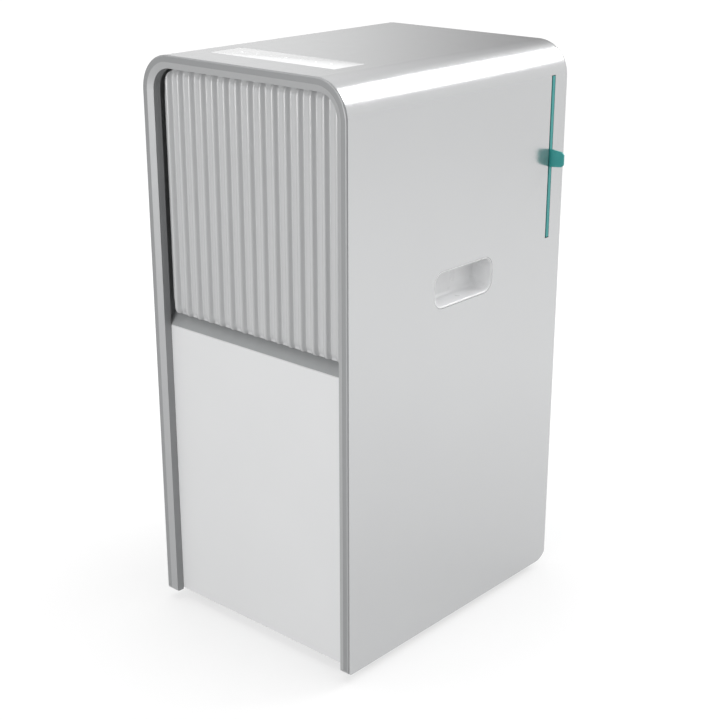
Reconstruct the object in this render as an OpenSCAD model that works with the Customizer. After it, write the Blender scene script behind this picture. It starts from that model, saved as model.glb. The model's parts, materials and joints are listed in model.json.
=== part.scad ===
// Tall compressor dehumidifier: wrap-around cabinet, fluted outlet panel, side-loading filter,
// rear water tank and four recessed swivel castors.
// Origin: on the floor, under the middle of the whole unit's box. +Z up, front faces -Y.

/* [Cabinet] */
// Width across the cabinet's sides
case_w = 330; // [320:1:340]
// Depth, front rim to rear rim
case_d = 420; // [414:2:440]
// Height of the cabinet alone, without the castors
case_h = 723; // [720:1:740]
// Radius of the two top corners
corner_r = 44; // [40:1:46]
// Thickness of the cabinet wall
wall = 3; // [2.5:0.5:3.5]
// How far the castors hold the cabinet off the floor
castor_drop = 12; // [10:1:14]

/* [Front] */
// Width of the rim around the front, seen from the front
rim_face = 16; // [14:1:17]
// How far the rim stands in front of the lower panel
rim_depth = 14; // [12:1:16]
// Height of the plain lower panel
lower_panel_h = 380; // [370:1:385]
// Number of vertical flutes on the outlet panel
flute_count = 15; // [9:2:19]
// Depth of one flute, crest to valley
flute_depth = 6; // [4:0.5:7]
// Gap between the fluted panel and the rim
outlet_gap = 1.5; // [1:0.5:4]

/* [Controls and handles] */
// Length of the touch strip on the top
strip_w = 200; // [160:5:210]
// Depth of the touch strip on the top
strip_d = 52; // [40:1:54]
// Length of a side handle pocket
grip_w = 114; // [100:1:118]
// Height of a side handle pocket
grip_h = 46; // [40:1:48]
// Depth of a side handle pocket
grip_depth = 26; // [22:1:27]

/* [Filter] */
// Height of the slide-in filter
filter_h = 207; // [190:1:208]
// Thickness of the filter frame
filter_t = 5; // [4:0.5:6]
// How far the pull tab stands out of the side
tab_out = 20; // [16:1:24]
// Height of the pull tab
tab_h = 23; // [18:1:26]

/* [Fan] */
// Radius of the fan blades
fan_r = 113; // [100:1:114]
// Number of fan blades
blade_count = 7; // [5:1:9]

/* [Water tank] */
// Width of the tank
tank_w = 256; // [220:2:256]
// Height of the tank's walls
tank_h = 140; // [110:2:142]
// Wall of the tank
tank_wall = 2.5; // [2:0.5:3]

/* [Castors] */
// Radius of a castor wheel
wheel_r = 18; // [17:0.5:18.5]
// Width of a castor wheel
wheel_w = 15; // [12:1:15]
// Radius of the castor stem
stem_r = 5; // [4:0.5:5.5]

/* [Hidden] */

$fn = 64;
eps = 0.01;
seam = 0.3;                              // clearance where two covers meet
fit_gap = 0.05;                          // running clearance of a pin in its bore
shift_x = -tab_out / 2;                  // puts the tab and the far side equally far from X = 0

half_w = case_w / 2;
front_y = -case_d / 2;
rear_y = case_d / 2;
base_z = castor_drop;
top_z = castor_drop + case_h;
lip_t = 8;                               // rear lip of the cabinet wall
lip_d = 10;
toe_r = 8;                               // rounding of the rim's feet
heel_r = 24;                             // rounding of the cabinet's lower rear corners
inner_w = half_w - wall;

rim_chamfer_start = 8;                   // where the rim's face turns into its inner bevel
rim_bevel_d = 3.5;
rim_wall = 2.5;
face_y = front_y + rim_depth + seam;     // front of the lower panel
panel_t = 3;
panel_top_z = base_z + lower_panel_h;

flute_pitch = 2 * (half_w - rim_face - outlet_gap) / flute_count;
flute_flat = 0.38 * flute_pitch;         // flat width of a rib's crest
flute_foot = 0.76 * flute_pitch;         // width of a rib where it meets the panel
flute_crest_y = front_y + rim_depth - 1;
flute_wall = 2.5;
flute_back_y = flute_crest_y + flute_depth + panel_t;
flute_z0 = panel_top_z + 16;
flute_z1 = top_z - rim_face - outlet_gap;
frame_back_y = flute_back_y + 18;        // rear face of the outlet frame
frame_t = 3;
frame_slot_z = flute_z0 + 20;            // lowest row of the frame's air slots
frame_slot_h = 80;
frame_slot_step = 92;
ledge_rise = 13;
ledge_run = 14;

strip_y = front_y + 78;                  // middle of the touch strip
strip_t = 2.5;
strip_gap = 0.2;
board_t = 1.6;                           // thickness of the circuit boards
grip_y = 2;
grip_z = base_z + 454;
grip_r = 16;
grip_wall = 2.5;
grip_gap = 0.25;

filter_y = rear_y - 33;
filter_z0 = base_z + 476;
filter_z1 = filter_z0 + filter_h;
filter_x0 = -half_w + 31;
filter_x1 = half_w - 0.2;
slot_front = 2.5;                        // slot clearance in front of the filter
slot_rear = 0.5;
filter_border = 8;
filter_bar = 4;                          // bars between the filter's windows
filter_cols = 3;
filter_rows = 2;
guide_x0 = -half_w + 24;
guide_x1 = half_w - 8;

deck_z = base_z + 273;
deck_t = 3;
pan_x = inner_w - 1.5;
pan_y0 = front_y + 20;
pan_y1 = rear_y - 20;
pan_z = base_z + 2;
pan_t = 3;
pan_wall_h = 30;

castor_x = 115;
castor_y = 150;
castor_trail = 10;
pocket_r = 32.5;
pocket_z = 46;
bush_r = 8;
bush_z1 = 66;
fork_plate_z = 2 * wheel_r + 2.5;

tank_y0 = 42;
tank_y1 = rear_y - 12;
tank_z = 70;
tank_face_w = tank_w + 9;
tank_face_h = 215;
tank_face_z = tank_z - 4.5;
shelf_x = 146;
shelf_y0 = 34;
shelf_t = 3;
rail_base = 0.5;                         // the shelf's top lies this far below the tank
tank_grip_w = 100;
tank_grip_h = 30;
tank_grip_d = 22;
bail_y = 120;
bail_z = tank_z + tank_h - 10;
bail_len = 58;
bail_tilt = 18;
bail_pin_r = 4;
float_y = tank_y0 + 20;
float_z = tank_z + tank_h - 36;
float_x = 70;
float_pin_r = 2.5;
ear_x = 8;                               // the float's hinge ears, either side of its middle

fan_z = 572;
shroud_y = 84;
shroud_t = 3;
ring_y0 = 46;
ring_r = 116;
hub_r = 34;
shaft_r = 4;
motor_r = 42;

coil_w = 250;
coil_z0 = 445;
coil_z1 = 700;
coil_t = 25;
evap_y = 138;
cond_y = 106;
tube_rows = 8;
tube_r = 4.7;

bracket_x = 149;                         // inner faces of the coil brackets
bracket_t = 2;
tray_x = bracket_x - 0.2;
tray_z = 415;
tray_h = 22;
tray_t = 2.5;
funnel_y = 150;                          // where the tray's water falls into the tank

comp_x = -20;
comp_y = -80;
comp_r = 60;
comp_z = 50;
comp_h = 195;
comp_feet = [90, 210, 330];
comp_foot_t = 3;
comp_hole_r = 5;
acc_x = comp_x + 80;                     // suction accumulator beside the compressor
acc_y = comp_y - 15;
acc_z0 = 90;
acc_z1 = 210;
discharge_y = comp_y + 15;
discharge_z = 400;
suction_z = 380;

box_x0 = 88;                             // control box, open on its left side
box_x1 = 150;
box_y0 = -118;
box_y1 = -20;
box_z0 = 118;
box_z1 = 262;
box_wall = 2.5;

screw_in = wall + 9.5;                   // screw centre in from the outer surface
screw_side_z = [58, 300, 465];
screw_top_x = 60;
screw_spots = [
    for (s = [-1, 1], z = screw_side_z) [s * (half_w - screw_in), z],
    for (s = [-1, 1]) [s * screw_top_x, top_z - screw_in]
];
boss_len = 16;
boss_r = 5;
screw_hole_r = 2;
panel_y = rear_y - lip_d - panel_t - 0.2;
inlet_x = 142;                           // half the width of the rear panel's inlet opening
inlet_margin = 10;
drain_x = 110;
drain_z = 330;
drain_r = 8;                             // hose end of the drain spigot
drain_neck_r = 7;
drain_bore_r = 5;
drain_tip_y = rear_y - 3;
drain_cup_d = 10.5;                      // depth of the recess round the spigot
gland_x = -half_w + 17;
gland_z = 100;
gland_r = 6;

// ---------- helpers ----------

// Draws the shape in the X-Z plane and thickens it from y0 towards +Y.
module slab_y(y0, t) {
    translate([0, y0 + t, 0]) rotate([90, 0, 0]) linear_extrude(t) children();
}

// Draws the shape in the Y-Z plane and thickens it from x0 towards +X.
module slab_x(x0, t) {
    translate([x0, 0, 0]) rotate([90, 0, 90]) linear_extrude(t) children();
}

module rod_y(x, z, y0, len, r) {
    translate([x, y0, z]) rotate([-90, 0, 0]) cylinder(h = len, r = r);
}

module rod_x(x0, y, z, len, r) {
    translate([x0, y, z]) rotate([0, 90, 0]) cylinder(h = len, r = r);
}

module block(x0, x1, y0, y1, z0, z1) {
    translate([x0, y0, z0]) cube([x1 - x0, y1 - y0, z1 - z0]);
}

// Rectangle centred on the origin with round corners.
module round_rect(w, h, r) {
    square([w - 2 * r, h], center = true);
    square([w, h - 2 * r], center = true);
    for (sx = [-1, 1], sy = [-1, 1])
        translate([sx * (w / 2 - r), sy * (h / 2 - r)]) circle(r);
}

// Front view of the cabinet pulled in by `inset`: square feet, round top corners.
module cabinet_outline(inset, z0) {
    w = half_w - inset;
    r = corner_r - inset;
    z1 = top_z - inset;
    translate([-w, z0]) square([2 * w, z1 - r - z0]);
    translate([-w + r, z0]) square([2 * (w - r), z1 - z0]);
    for (s = [-1, 1]) translate([s * (w - r), z1 - r]) circle(r);
}

// Carries a wall section up one side, over the top and down the other side.
// In the section, X is the distance in from the outer surface and Y the distance back.
module wrap_around() {
    leg = top_z - corner_r - base_z;
    translate([half_w, front_y, base_z]) linear_extrude(leg) mirror([1, 0]) children();
    translate([-half_w, front_y, base_z]) linear_extrude(leg) children();
    translate([-half_w + corner_r, front_y, top_z]) rotate([0, 90, 0])
        linear_extrude(case_w - 2 * corner_r) children();
    for (s = [-1, 1])
        translate([s * (half_w - corner_r), front_y, top_z - corner_r]) rotate([-90, 0, 0])
            rotate([0, 0, s > 0 ? -90 : -180]) rotate_extrude(angle = 90)
                translate([corner_r, 0]) mirror([1, 0]) children();
}

// Cutter that rounds an edge running along X: what it leaves is a quarter circle of radius r.
module edge_cutter(y, z, r, sy) {
    difference() {
        block(-half_w - 1, half_w + 1, sy > 0 ? y - r : y - 1, sy > 0 ? y + 1 : y + r, z - 1, z + r);
        rod_x(-half_w - 2, y - sy * r, z + r, case_w + 4, r);
    }
}

// ---------- cabinet ----------

module sleeve_section() {
    lip_r = 6;
    difference() {
        union() {
            translate([0, 2.4]) square([wall, case_d - 2.4 - lip_r]);
            translate([0, case_d - lip_d]) square([lip_t, lip_d - lip_r]);
            translate([lip_r, case_d - lip_d]) square([lip_t - lip_r, lip_d]);
            translate([lip_r, case_d - lip_r]) circle(lip_r);
        }
        translate([lip_t, case_d - 2 * lip_r - 1]) square([lip_r, 2 * lip_r + 2]);
        translate([wall, case_d - 2 * lip_r - 1]) square([lip_r, 2 * lip_r - lip_d + 1]);
    }
}

module grip_outline(grow) {
    translate([grip_y, grip_z]) round_rect(grip_w + 2 * grow, grip_h + 2 * grow, grip_r + grow);
}

// Posts inside the cabinet wall that take the rear panel's screws, each on a web to the wall.
module screw_bosses() {
    web = 2;                             // half the thickness of a web
    sink = 0.5;                          // how far a web runs into the wall
    for (p = screw_spots) rod_y(p[0], p[1], panel_y - boss_len, boss_len - eps, boss_r);
    for (s = [-1, 1], z = screw_side_z)
        block(s > 0 ? half_w - screw_in : -inner_w - sink, s > 0 ? inner_w + sink : -half_w + screw_in,
              panel_y - boss_len, panel_y - eps, z - web, z + web);
    for (s = [-1, 1])
        block(s * screw_top_x - web, s * screw_top_x + web, panel_y - boss_len, panel_y - eps,
              top_z - screw_in, top_z - wall + sink);
}

module outer_sleeve() {
    color("#d5d7d8") difference() {
        union() {
            wrap_around() sleeve_section();
            screw_bosses();
        }
        edge_cutter(rear_y, base_z, heel_r, 1);
        edge_cutter(front_y, base_z, toe_r, -1);
        for (p = screw_spots) rod_y(p[0], p[1], panel_y - boss_len + 1, boss_len, screw_hole_r);
        for (s = [-1, 1])
            slab_x(s > 0 ? half_w - 2 * wall : -half_w - wall, 3 * wall) grip_outline(grip_gap);
        block(half_w - 2 * wall, half_w + wall, filter_y - filter_t / 2 - slot_front,
              filter_y + filter_t / 2 + slot_rear, filter_z0 - 1, filter_z1 + 1);
        block(-strip_w / 2 - strip_gap, strip_w / 2 + strip_gap, strip_y - strip_d / 2 - strip_gap,
              strip_y + strip_d / 2 + strip_gap, top_z - 2 * wall, top_z + 1);
    }
}

module rim_section() {
    nose_r = 2;
    difference() {
        union() {
            polygon([[nose_r, 0], [rim_chamfer_start, 0], [rim_face, rim_bevel_d], [rim_face, rim_depth],
                     [wall + seam, rim_depth], [wall + seam, nose_r], [nose_r, nose_r]]);
            intersection() {
                translate([nose_r, nose_r]) circle(nose_r);
                square([2 * nose_r, nose_r]);
            }
        }
        polygon([[wall + 3, rim_depth + 1], [wall + 3, 4], [rim_chamfer_start, 3],
                 [rim_face - rim_wall, rim_bevel_d + 1.7], [rim_face - rim_wall, rim_depth + 1]]);
    }
}

module front_bezel() {
    color("#b4b7b9") difference() {
        wrap_around() rim_section();
        edge_cutter(front_y, base_z, toe_r, -1);
    }
}

module lower_front_panel() {
    bevel = 2;
    flange = 5;
    color("#f2f3f3") {
        slab_x(-inner_w + seam, 2 * (inner_w - seam))
            polygon([[face_y, base_z + 1 + bevel], [face_y + bevel, base_z + 1],
                     [face_y + flange, base_z + 1], [face_y + flange, base_z + 1 + panel_t],
                     [face_y + panel_t, base_z + 1 + panel_t], [face_y + panel_t, panel_top_z],
                     [face_y + 1, panel_top_z], [face_y, panel_top_z - 1]]);
        for (s = [-1, 1])
            block(s * inner_w / 2 - 1, s * inner_w / 2 + 1, face_y + panel_t - eps,
                  face_y + panel_t + 4, base_z + 40, panel_top_z - 40);
    }
}

// ---------- outlet ----------

// Section of the ribs, pushed back by `inset` and narrowed to match for the hollows behind them.
module flute_outline(inset, back_y) {
    narrow = 2 * inset / cos(atan((flute_foot - flute_flat) / 2 / flute_depth));
    for (i = [0 : flute_count - 1])
        translate([(i - (flute_count - 1) / 2) * flute_pitch, 0])
            polygon([[-(flute_flat - narrow / 2) / 2, flute_crest_y + inset],
                     [(flute_flat - narrow / 2) / 2, flute_crest_y + inset],
                     [(flute_foot - narrow) / 2, flute_crest_y + flute_depth + eps],
                     [(flute_foot - narrow) / 2, back_y], [-(flute_foot - narrow) / 2, back_y],
                     [-(flute_foot - narrow) / 2, flute_crest_y + flute_depth + eps]]);
}

module fluted_panel() {
    w = half_w - rim_face - outlet_gap;
    h = flute_z1 - flute_z0;
    top_r = corner_r - rim_face - outlet_gap;
    foot_r = 8;
    end_run = 9;                         // height over which a flute's end slopes back
    end_drop = 6;
    hollow_end = 14;
    post_r = 5;                          // posts that stand on the frame's cross bars
    color("#eceeee") {
        intersection() {
            translate([0, 0, flute_z0 - 1]) linear_extrude(h + 2) {
                flute_outline(0, flute_back_y - 1);
                translate([-w - 1, flute_crest_y + flute_depth]) square([2 * w + 2, panel_t]);
            }
            difference() {
                slab_x(-w, 2 * w)
                    polygon([[flute_crest_y - 1, flute_z0 + end_run], [flute_crest_y + end_drop, flute_z0],
                             [flute_back_y + 1, flute_z0], [flute_back_y + 1, flute_z1],
                             [flute_crest_y + end_drop, flute_z1], [flute_crest_y - 1, flute_z1 - end_run]]);
                translate([0, 0, flute_z0 + hollow_end])
                    linear_extrude(h - hollow_end - top_r) flute_outline(flute_wall, flute_back_y + 1);
            }
            slab_y(flute_crest_y - 2, flute_back_y - flute_crest_y + 4) union() {
                translate([-w, flute_z0 + foot_r]) square([2 * w, h - foot_r - top_r]);
                translate([-w + foot_r, flute_z0]) square([2 * (w - foot_r), 2 * foot_r]);
                translate([-w + top_r, flute_z0 + foot_r]) square([2 * (w - top_r), h - foot_r]);
                for (s = [-1, 1]) {
                    translate([s * (w - foot_r), flute_z0 + foot_r]) circle(foot_r);
                    translate([s * (w - top_r), flute_z1 - top_r]) circle(top_r);
                }
            }
        }
        for (s = [-1, 1], row = [1, 2])
            rod_y(s * (floor(flute_count / 2) - 1.5) * flute_pitch,
                  frame_slot_z + row * frame_slot_step - (frame_slot_step - frame_slot_h) / 2,
                  flute_back_y - 1, frame_back_y - frame_t - flute_back_y + 1, post_r);
    }
}

module outlet_frame() {
    slot_w = 22;
    slot_pitch = 30;
    rim_t = 2.5;
    inset = wall + seam + 1;
    z0 = panel_top_z + 1;
    ledge_t = 3;
    ledge_z0 = panel_top_z + 0.3;
    ledge_z1 = panel_top_z + ledge_rise;
    color("#8d9092") difference() {
        union() {
            slab_y(frame_back_y - frame_t, frame_t) cabinet_outline(inset, z0);
            difference() {
                slab_y(face_y, frame_back_y - face_y) cabinet_outline(inset, z0);
                slab_y(face_y - 1, frame_back_y - face_y) cabinet_outline(inset + rim_t, z0 - 2 * wall);
            }
            slab_x(-half_w + wall + 3, case_w - 2 * wall - 6)
                polygon([[face_y, ledge_z0], [face_y + ledge_run, ledge_z1], [frame_back_y - 1, ledge_z1],
                         [frame_back_y - 1, ledge_z1 - ledge_t],
                         [face_y + ledge_run, ledge_z1 - ledge_t], [face_y + 4, ledge_z0]]);
        }
        for (i = [-4 : 4], row = [0 : 2])
            block(i * slot_pitch - slot_w / 2, i * slot_pitch + slot_w / 2,
                  frame_back_y - frame_t - 2, frame_back_y + 1,
                  frame_slot_z + row * frame_slot_step,
                  frame_slot_z + row * frame_slot_step + frame_slot_h);
    }
}

// ---------- controls and handles ----------

module touch_lens() {
    color("#f7f8f8") block(-strip_w / 2, strip_w / 2, strip_y - strip_d / 2,
                           strip_y + strip_d / 2, top_z - strip_t, top_z);
}

module control_housing() {
    margin = 6;
    shell = 2;
    depth = 18;
    notch_z = 5;                         // slot that lets the display's wires out
    w = strip_w / 2 + margin;
    d = strip_d / 2 + margin;
    z1 = top_z - wall - 0.2;
    color("#5c6063") difference() {
        block(-w, w, strip_y - d, strip_y + d, z1 - depth, z1);
        block(-w + shell, w - shell, strip_y - d + shell, strip_y + d - shell, z1 - depth + shell, z1 + 1);
        block(w - 40, w - 20, strip_y + d - shell - 1, strip_y + d + 1, z1 - notch_z - 7, z1 - notch_z);
    }
}

module display_board() {
    z = top_z - wall - 8;
    key_pitch = 24;
    key = 6;                             // half the width of a touch key's spring
    key_h = 2.5;
    color("#2f7a4d") block(-strip_w / 2, strip_w / 2, strip_y - strip_d / 2 + 1,
                           strip_y + strip_d / 2 - 1, z - board_t, z);
    color("#222426") for (i = [-3 : 3])
        block(i * key_pitch - key, i * key_pitch + key, strip_y - key, strip_y + key, z - eps, z + key_h);
}

// A pocket let into the side wall, drawn for the right-hand side.
module handle_cup() {
    flange = 7;
    flange_t = 2.5;
    flange_x = half_w - wall - 0.2;
    color("#dcdedf") difference() {
        union() {
            slab_x(half_w - grip_depth - grip_wall, grip_depth + grip_wall) grip_outline(0);
            slab_x(flange_x - flange_t, flange_t) grip_outline(flange);
        }
        slab_x(half_w - grip_depth, grip_depth + 1) grip_outline(-grip_wall);
    }
}

module handle_cup_right() {
    handle_cup();
}

module handle_cup_left() {
    mirror([1, 0, 0]) handle_cup();
}

// ---------- rear ----------

module rear_panel() {
    cup_r = 22;
    cup_wall = 2.5;
    tank_gap = 1.5;                      // clearance round the tank's front
    color("#e3e5e6") difference() {
        union() {
            slab_y(panel_y, panel_t) cabinet_outline(wall + seam, base_z + 8);
            rod_y(drain_x, drain_z, panel_y - drain_cup_d - cup_wall, drain_cup_d + cup_wall + 1,
                  cup_r + cup_wall);
        }
        rod_y(drain_x, drain_z, panel_y - drain_cup_d, 2 * drain_cup_d, cup_r);
        rod_y(drain_x, drain_z, panel_y - 2 * drain_cup_d, 2 * drain_cup_d, drain_neck_r + 0.1);
        rod_y(gland_x, gland_z, panel_y - 1, panel_t + 2, gland_r + 0.1);
        block(-tank_face_w / 2 - tank_gap, tank_face_w / 2 + tank_gap, panel_y - 1, panel_y + panel_t + 2,
              tank_face_z - tank_gap, tank_face_z + tank_face_h + tank_gap);
        block(-inlet_x, inlet_x, panel_y - 1, panel_y + panel_t + 2,
              filter_z0 - inlet_margin, filter_z1 + inlet_margin);
        for (p = screw_spots) rod_y(p[0], p[1], panel_y - 1, panel_t + 2, screw_hole_r);
    }
}

module inlet_grille() {
    z0 = filter_z0 - inlet_margin + seam;
    z1 = filter_z1 + inlet_margin - seam;
    w = inlet_x - seam;
    border = 7;
    slat = 2.4;
    slats = 21;
    bar = 3;
    bar_x = 70;
    color("#cfd2d3") {
        difference() {
            block(-w, w, panel_y - 4, panel_y + 5, z0, z1);
            block(-w + border, w - border, panel_y - 5, panel_y + 6, z0 + border, z1 - border);
        }
        for (i = [1 : slats - 1]) {
            z = z0 + border + i * (z1 - z0 - 2 * border) / slats;
            block(-w + border - 1, w - border + 1, panel_y - 2, panel_y + 4, z - slat / 2, z + slat / 2);
        }
        for (x = [-bar_x, 0, bar_x])
            block(x - bar / 2, x + bar / 2, panel_y - 3.5, panel_y - 1, z0 + border - 1, z1 - border + 1);
    }
}

module panel_screws() {
    head_r = 3.6;
    head_t = 2.4;
    head_y = panel_y + panel_t;
    shank_r = 1.9;
    shank_in = 12;
    cross = 2.4;                         // half the length of the cross recess
    cross_t = 0.5;                       // half its width
    color("#9a9da0") for (p = screw_spots) difference() {
        union() {
            rod_y(p[0], p[1], head_y, head_t, head_r);
            rod_y(p[0], p[1], panel_y - shank_in, shank_in + panel_t + eps, shank_r);
        }
        block(p[0] - cross, p[0] + cross, head_y + head_t / 2, head_y + head_t + 1,
              p[1] - cross_t, p[1] + cross_t);
        block(p[0] - cross_t, p[0] + cross_t, head_y + head_t / 2, head_y + head_t + 1,
              p[1] - cross, p[1] + cross);
    }
}

module cable_gland() {
    bore_r = 3.8;
    nut_r = 8;
    back = 10;                           // how far it reaches into the cabinet
    color("#3a3c3e") difference() {
        union() {
            rod_y(gland_x, gland_z, panel_y - back, back + panel_t + 1, gland_r);
            rod_y(gland_x, gland_z, panel_y + panel_t, 3, nut_r);
            rod_y(gland_x, gland_z, panel_y - 6, 5.9, nut_r);
        }
        rod_y(gland_x, gland_z, panel_y - back - 1, 2 * back, bore_r);
    }
}

// ---------- filter ----------

module filter_guide() {
    margin = 7;
    half_d = 8;
    groove = 5;                          // solid end behind the filter's far edge
    window = 14;
    z0 = filter_z0 - margin;
    z1 = filter_z1 + margin;
    y0 = filter_y - half_d;
    y1 = filter_y + half_d;
    clear = filter_t / 2 + 0.6;
    color("#b9bcbe") difference() {
        block(guide_x0, guide_x1, y0, y1, z0, z1);
        block(guide_x0 + window - 2, guide_x1 + 1, y0 - 1, y1 + 1, z0 + window, z1 - window);
        block(guide_x0 + groove, guide_x1 + 1, filter_y - clear, filter_y + clear,
              filter_z0 - 0.7, filter_z1 + 0.7);
    }
}

// The windows of the filter frame, `depth` thick.
module filter_cells(depth) {
    cell_w = (filter_x1 - filter_x0 - 2 * filter_border - (filter_cols - 1) * filter_bar) / filter_cols;
    cell_h = (filter_h - 2 * filter_border - (filter_rows - 1) * filter_bar) / filter_rows;
    for (i = [0 : filter_cols - 1], j = [0 : filter_rows - 1])
        translate([filter_x0 + filter_border + i * (cell_w + filter_bar), filter_y - depth / 2,
                   filter_z0 + filter_border + j * (cell_h + filter_bar)])
            cube([cell_w, depth, cell_h]);
}

module filter_frame() {
    color("#35a39a") difference() {
        block(filter_x0, filter_x1, filter_y - filter_t / 2, filter_y + filter_t / 2,
              filter_z0, filter_z1);
        filter_cells(2 * filter_t);
    }
}

module filter_mesh() {
    color("#e8ecec") filter_cells(1);
}

module filter_pull_tab() {
    z = (filter_z0 + filter_z1) / 2;
    tip = half_w + tab_out;
    taper = 2;
    nose = 3;
    color("#35a39a") slab_y(filter_y - 1, 2)
        polygon([[filter_x1, z - tab_h / 2], [tip - nose, z - tab_h / 2 + taper],
                 [tip, z - tab_h / 2 + taper + nose], [tip, z + tab_h / 2 - taper - nose],
                 [tip - nose, z + tab_h / 2 - taper], [filter_x1, z + tab_h / 2]]);
}

// ---------- base and decks ----------

module base_pan() {
    color("#7d8183") difference() {
        union() {
            difference() {
                block(-pan_x, pan_x, pan_y0, pan_y1, pan_z, pan_z + pan_wall_h);
                block(-pan_x + pan_t, pan_x - pan_t, pan_y0 + pan_t, pan_y1 - pan_t,
                      pan_z + pan_t, pan_z + pan_wall_h + 1);
            }
            for (x = [-castor_x, castor_x], y = [-castor_y, castor_y]) translate([x, y, 0]) {
                translate([0, 0, pan_z]) cylinder(h = pocket_z + pan_t - pan_z, r = pocket_r + pan_t);
                translate([0, 0, pocket_z]) cylinder(h = bush_z1 - pocket_z, r = bush_r + 3);
            }
        }
        for (x = [-castor_x, castor_x], y = [-castor_y, castor_y]) translate([x, y, 0]) {
            cylinder(h = pocket_z, r = pocket_r);
            cylinder(h = bush_z1 + 1, r = bush_r);
        }
    }
}

module middle_deck() {
    hole_r = 9;
    wire_slot = [-158, -140, 80, 120];
    color("#a9adaf") difference() {
        block(-inner_w + 1, inner_w - 1, pan_y0 + 2, panel_y - 2, deck_z, deck_z + deck_t);
        for (p = [[0, funnel_y], [comp_x, discharge_y], [acc_x, acc_y]])
            translate([p[0], p[1], deck_z - 1]) cylinder(h = deck_t + 2, r = hole_r);
        block(wire_slot[0], wire_slot[1], wire_slot[2], wire_slot[3], deck_z - 1, deck_z + deck_t + 1);
    }
}

module coil_brackets() {
    foot = 14;
    y0 = cond_y - 4;
    y1 = evap_y + coil_t - 4;
    z0 = deck_z + deck_t;
    color("#b9bdbf") for (s = [-1, 1]) {
        x = s > 0 ? bracket_x : -bracket_x - bracket_t;
        block(x, x + bracket_t, y0, y1, z0, coil_z1);
        block(s > 0 ? bracket_x - foot : -bracket_x, s > 0 ? bracket_x : -bracket_x + foot, y0, y1,
              z0, z0 + bracket_t);
    }
}

module drip_tray() {
    y0 = cond_y - 5;
    y1 = evap_y + coil_t + 2;
    floor_t = 3;
    spout_z = deck_z - 6;
    spout_r = 8;
    color("#c9cccd") difference() {
        union() {
            block(-tray_x, tray_x, y0, y1, tray_z, tray_z + tray_h);
            translate([0, funnel_y, spout_z]) cylinder(h = tray_z + 1 - spout_z, r = spout_r);
        }
        block(-tray_x + tray_t, tray_x - tray_t, y0 + tray_t, y1 - tray_t,
              tray_z + floor_t, tray_z + tray_h + 1);
        translate([0, funnel_y, spout_z - 1])
            cylinder(h = tray_z + floor_t + 1 - spout_z, r = spout_r - tray_t);
    }
}

module drain_spigot() {
    riser_y = 160;
    flange_y = panel_y - drain_cup_d;
    flange_t = 2;
    flange_r = 12;
    color("#dcdfe0") difference() {
        union() {
            rod_y(drain_x, drain_z, riser_y - 8, flange_y - riser_y + 8 + eps, drain_neck_r);
            rod_y(drain_x, drain_z, flange_y, flange_t, flange_r);
            rod_y(drain_x, drain_z, flange_y + eps, drain_tip_y - flange_y - eps, drain_r);
            translate([drain_x, riser_y, drain_z]) cylinder(h = tray_z - drain_z, r = drain_neck_r);
        }
        rod_y(drain_x, drain_z, riser_y + 2, drain_tip_y - riser_y, drain_bore_r);
    }
}

module drain_plug() {
    reach = 6;                           // how far it goes in past the rear panel's face
    head_t = 2.4;
    color("#2c2e30") {
        rod_y(drain_x, drain_z, panel_y - reach, drain_tip_y - panel_y + reach + 0.2,
              drain_bore_r - fit_gap);
        rod_y(drain_x, drain_z, drain_tip_y + 0.1, head_t, drain_r - 1);
    }
}

// ---------- refrigeration ----------

module tube_levels(z0, z1) {
    step = (z1 - z0) / tube_rows;
    for (i = [0 : tube_rows - 1]) translate([0, 0, z0 + step * (i + 0.5)]) children();
}

module coil_fins(y0) {
    fins = 26;
    pitch = coil_w / fins;
    difference() {
        block(-coil_w / 2, coil_w / 2, y0, y0 + coil_t, coil_z0, coil_z1);
        for (i = [0 : fins - 1], s = [0, 1])
            block(-coil_w / 2 + i * pitch + 2, -coil_w / 2 + (i + 1) * pitch - 2,
                  s > 0 ? y0 + coil_t - 6 : y0 - 1, s > 0 ? y0 + coil_t + 1 : y0 + 6,
                  coil_z0 + 3, coil_z1 - 3);
        tube_levels(coil_z0, coil_z1)
            rod_x(-coil_w / 2 - 1, y0 + coil_t / 2, 0, coil_w + 2, tube_r + 0.1);
    }
}

// Straight tubes joined by return bends, which are belled out to take the tube ends.
module coil_tubes(y0) {
    step = (coil_z1 - coil_z0) / tube_rows;
    bell = 0.8;
    tube_levels(coil_z0, coil_z1)
        rod_x(-coil_w / 2 - 2, y0 + coil_t / 2, 0, coil_w + 4, tube_r);
    for (i = [0 : tube_rows - 2]) {
        s = i % 2 == 0 ? 1 : -1;
        translate([s * (coil_w / 2 + 1), y0 + coil_t / 2, coil_z0 + step * (i + 1)])
            rotate([90, s * 90, 0]) rotate_extrude(angle = 180)
                translate([step / 2, 0]) circle(tube_r + bell);
    }
}

module evaporator_fins() {
    color("#c4c8cb") coil_fins(evap_y);
}

module evaporator_tubes() {
    color("#b87345") coil_tubes(evap_y);
}

module condenser_fins() {
    color("#b4b8bb") coil_fins(cond_y);
}

module condenser_tubes() {
    color("#b87345") coil_tubes(cond_y);
}

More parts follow.
